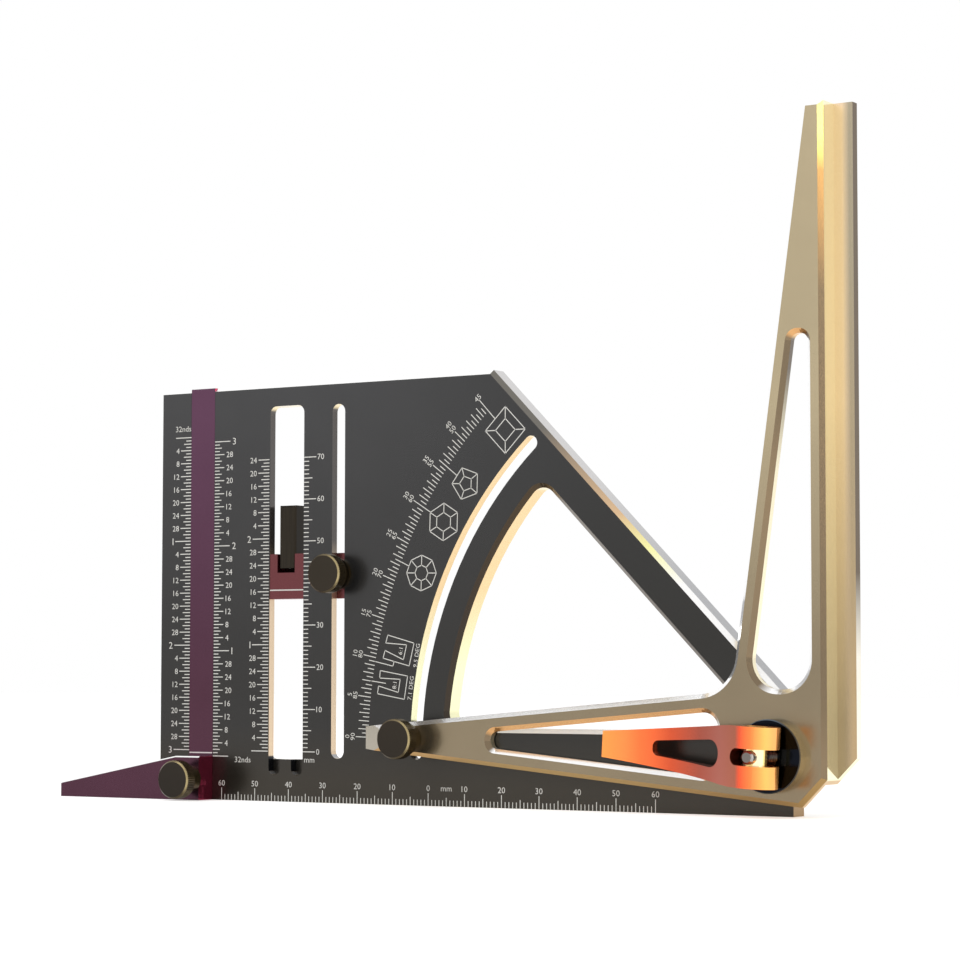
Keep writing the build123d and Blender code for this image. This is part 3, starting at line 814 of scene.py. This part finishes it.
# %% [markdown]
# ## The scales beside the window
#
# The red slide is read on both sides of the window: in millimetres on the right, and in inches
# on the left. Both start at the same height, just above the window's foot.

# %% Window scales
MM_ZERO, INCH_ZERO = 11.9, 11.893
marks = bmesh.new()
for mm in range(0, 71):
    reach = -32.3 if mm % 10 == 0 else -33.4 if mm % 5 == 0 else -34.4
    line(marks, (-35.85, MM_ZERO + mm), (reach, MM_ZERO + mm), SCALE_LINE)
    if mm % 10 == 0:
        label(marks, str(mm), -31.9, MM_ZERO + 0.05 + mm, NUMBER, side="left")
label(marks, "mm", -33.9, 9.9, NUMBER)
inch_scale(
    marks,
    parts=88,
    zero=INCH_ZERO,
    way=1,
    edge=-46.2,
    reaches=(-47.9, -48.6, -49.5, -51.1),
    number_xs=(-50.0, -51.6),
    side="right",
)
label(marks, "32nds", -53.7, 9.8, NUMBER)
piece("window_scales", marks, "plate", marks_white)

# %% [markdown]
# ## The scales beside the height slide
#
# The purple slide is read against inch scales on both sides of its groove. The right one counts
# up from the ruler edge, and the left one counts down, for the slide turned round.

# %% Height scales
TOP_ZERO, FOOT_ZERO = 88.09, 10.494
marks = bmesh.new()
inch_scale(
    marks,
    parts=96,
    zero=TOP_ZERO,
    way=-1,
    edge=-70.12,
    reaches=(-71.7, -72.4, -73.3, -74.9),
    number_xs=(-73.8, -75.5),
    side="right",
)
label(marks, "32nds", -72.6, 90.3, NUMBER)
inch_scale(
    marks,
    parts=96,
    zero=FOOT_ZERO,
    way=1,
    edge=-62.75,
    reaches=(-61.3, -60.7, -59.9, -58.1),
    number_xs=(-59.2, -57.3),
    side="left",
)
piece("height_scales", marks, "plate", marks_white)

# %% [markdown]
# ## The angle scale
#
# The pointer's tip sweeps an arc about the pivot, so this scale is polar: every tick lies on a
# ray from the pivot. A point on such a ray is worked out once here, and then ticks, numbers and
# the leaders to the small drawings all use it. Half degrees get short ticks and every fifth
# degree two numbers, for the angle and for what is left to 90.

# %% Angle scale
PIVOT = (90.2, 12.9)
ZERO_RAY = 1.43  # degrees above -X at which the pointer rests
SCALE_R, LEFT_R, ANGLE_R = 107.1, 111.6, 113.15  # ticks, numbers left to 90, numbers of angles
ANGLE_NUMBER = 1.25  # mm tall
LAST_R, LAST_NUMBER = 111.4, 1.3  # for the 45, which is also what is left to 90


def on_ray(angle, radius):
    """The point (x, z) at an angle of the scale and a distance from the pivot."""
    a = math.radians(angle + ZERO_RAY)
    return (PIVOT[0] - radius * math.cos(a), PIVOT[1] + radius * math.sin(a))


marks = bmesh.new()
for half in range(0, 91):
    angle = half / 2
    outer = 110.7 if half % 10 == 0 else 110.0 if half % 2 == 0 else 108.9
    line(marks, on_ray(angle, SCALE_R), on_ray(angle, outer), FINE_LINE)
    if half % 10 == 0:
        turn = 90 - (angle + ZERO_RAY)
        if half == 90:
            label(marks, "45", *on_ray(angle, LAST_R), LAST_NUMBER, turn)
        else:
            label(marks, str(90 - half // 2), *on_ray(angle, LEFT_R), ANGLE_NUMBER, turn)
            label(marks, str(half // 2), *on_ray(angle, ANGLE_R), ANGLE_NUMBER, turn)
for angle, inner in ((45, 104.5), (36, 103.9), (30, 105.2), (22.5, 104.6)):
    line(marks, on_ray(angle, inner), on_ray(angle, SCALE_R - PROUD), FINE_LINE)
piece("angle_scale", marks, "plate", marks_white)

# %% [markdown]
# ## Drawings beside the scale
#
# Small drawings mark the settings for frames with four, five, six and eight sides: two polygons,
# one inside the other, with a spoke at each corner. Two outlines of dovetail joints mark the
# slopes that wood workers use most.

# %% Polygon drawings
marks = bmesh.new()
for corners, (x, z), radius, inside, first in (
    (4, (20.94, 85.93), 5.4, 2.65, 90.0),
    (5, (10.24, 74.04), 3.83, 1.77, 178.4),
    (6, (4.10, 65.37), 4.36, 2.2, 88.5),
    (8, (-2.03, 53.69), 4.15, 1.8, 88.8),
):
    rays_out = [math.radians(first + 360 * n / corners) for n in range(corners)]
    big = [(x + radius * math.cos(a), z + radius * math.sin(a)) for a in rays_out]
    small = [(x + inside * math.cos(a), z + inside * math.sin(a)) for a in rays_out]
    outline(marks, big)
    outline(marks, small)
    for near, far in zip(small, big):
        line(marks, near, far, FINE_LINE)

# %% Dovetail drawings
for corners in (
    [(-11.42, 39.38), (-4.04, 37.46), (-5.38, 32.19), (-12.77, 34.0),
     (-12.19, 35.81), (-7.0, 33.62), (-6.12, 37.08), (-12.0, 37.54)],
    [(-13.54, 31.12), (-5.81, 29.85), (-6.73, 24.46), (-14.31, 25.73),
     (-14.0, 27.54), (-8.42, 26.04), (-7.88, 29.08), (-13.69, 29.38)],
):
    outline(marks, corners)
outline(marks, [(-15.0, 33.23), (-9.96, 32.15), (-9.62, 33.23)], closed=False)
outline(marks, [(-16.23, 28.73), (-12.0, 28.15)], closed=False)
label(marks, "6:1", -7.85, 35.6, 1.1, 80.5)
label(marks, "9.5 DEG", -3.35, 34.6, 1.1, 80.5)
label(marks, "8:1", -9.5, 27.65, 1.1, 82)
label(marks, "7.1 DEG", -4.96, 27.08, 1.1, 82)
piece("angle_drawings", marks, "plate", marks_white)

# %% [markdown]
# ## Index lines on the slides
#
# Each slide carries one white line that is read against the scales, so these lines ride on the
# slides and not on the plate.

# %% Index lines
marks = bmesh.new()
line(marks, (-69.95, 11.25), (-63.05, 11.25), INDEX_LINE)
piece("height_index", marks, "height_slide", marks_white)
marks = bmesh.new()
carriage_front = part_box("marking_carriage")[0].y / MM
line(marks, (-45.85, 50.3), (-36.0, 50.3), INDEX_LINE, y=carriage_front)
piece("marking_index", marks, "marking_slide", marks_white)

# %% [markdown]
# ## Knurled rings on the knobs
#
# The knobs' heads are plain cylinders in the CAD model, and their straight knurl is finer than
# any drawing needs. A bump would lose its teeth at the silhouette, where a knob is looked at, so
# each head gets a thin toothed ring round it that turns with its knob.

# %% Knurled rings
TEETH, TOOTH = 64, 0.11 * MM
RING_DEEP, RING_CLEAR = 0.15 * MM, 0.004 * MM  # how far it goes into the head, and stands off it
RING_START, RING_FULL = 0.32 * MM, 0.42 * MM  # behind the head's front
RING_LOWER, RING_END = 2.98 * MM, 3.1 * MM


def knurl(name, node, body):
    """A toothed ring round a knob's head, from its rim's chamfer to its back edge."""
    low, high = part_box(node)
    x, z, front = (low.x + high.x) / 2, (low.z + high.z) / 2, low.y
    head_r = (high.x - low.x) / 2
    rim = bmesh.new()

    def ring(y, radii):
        """One closed row of points round the head, its radii by turns of two values."""
        row = []
        for step in range(2 * TEETH):
            a, out = math.pi * step / TEETH, radii[step % 2]
            row.append(rim.verts.new((x + out * math.cos(a), front + y, z + out * math.sin(a))))
        return row

    even, toothed = head_r + RING_CLEAR, head_r + RING_CLEAR + TOOTH
    inside = head_r - RING_DEEP
    rows = [
        ring(RING_START, (even, even)),
        ring(RING_FULL, (even, toothed)),
        ring(RING_LOWER, (even, toothed)),
        ring(RING_END, (even, even)),
        ring(RING_END, (inside, inside)),
        ring(RING_START, (inside, inside)),
    ]
    for row, following in zip(rows, rows[1:] + rows[:1]):
        for step in range(2 * TEETH):
            after = (step + 1) % (2 * TEETH)
            rim.faces.new((row[step], row[after], following[after], following[step]))
    piece(name, rim, body, bronze_anodised)


for name in ("height", "marking", "arm"):
    knurl(f"{name}_knurl", f"{name}_knob", f"{name}_lock")
